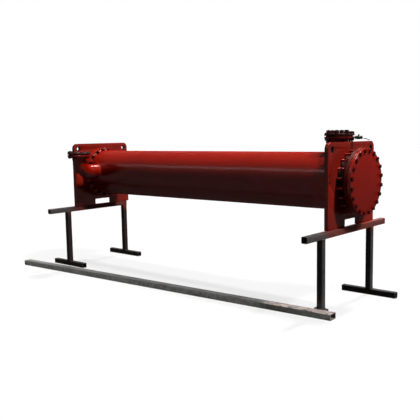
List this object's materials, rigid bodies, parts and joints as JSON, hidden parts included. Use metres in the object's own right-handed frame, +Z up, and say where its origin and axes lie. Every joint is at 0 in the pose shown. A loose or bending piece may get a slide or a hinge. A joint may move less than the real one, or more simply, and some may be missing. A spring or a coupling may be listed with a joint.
{
  "type": "shell and tube evaporator on trestles",
  "caption": "Horizontal red shell and tube evaporator between square end plates, with bolted round headers and blanked flanged nozzles, resting on tube trestles beside a ground rail.",
  "frame": {"origin": "middle of the footprint, on the ground", "axes": "+X along the vessel to the end with the top nozzle, +Y to the far side, +Z up"},
  "size_m": [4.4916, 1.5724, 1.625],
  "materials": {
    "red_paint": "glossy oxide red",
    "dark_steel": "dull dark primer",
    "gasket_sheet": "matt fibre sheet",
    "trestle_steel": "dull brown black",
    "rail_steel": "weathered grey"
  },
  "bodies": {
    "root": {"shell": "red_paint", "shell_flange": "red_paint", "right_tube_plate": "red_paint", "left_tube_plate": "red_paint", "right_header_barrel": "red_paint", "right_header_flange": "red_paint", "right_end_cover": "red_paint", "left_header_barrel": "red_paint", "left_header_flange": "red_paint", "left_end_cover": "red_paint", "top_nozzle_pipe": "red_paint", "top_nozzle_flange": "red_paint", "side_nozzle_stub": "red_paint", "side_nozzle_elbow": "red_paint", "side_nozzle_flange": "red_paint", "top_blind_flange": "dark_steel", "side_blind_flange": "dark_steel", "vent_cock": "dark_steel", "vent_spout": "dark_steel", "right_cover_gasket": "gasket_sheet", "left_cover_gasket": "gasket_sheet", "top_nozzle_gasket": "gasket_sheet", "side_nozzle_gasket": "gasket_sheet", "right_trestle_beam": "trestle_steel", "right_near_post": "trestle_steel", "right_far_post": "trestle_steel", "right_near_foot": "trestle_steel", "right_far_foot": "trestle_steel", "left_trestle_beam": "trestle_steel", "left_near_post": "trestle_steel", "left_far_post": "trestle_steel", "left_near_foot": "trestle_steel", "left_far_foot": "trestle_steel", "ground_rail": "rail_steel"}
  },
  "joints": []
}
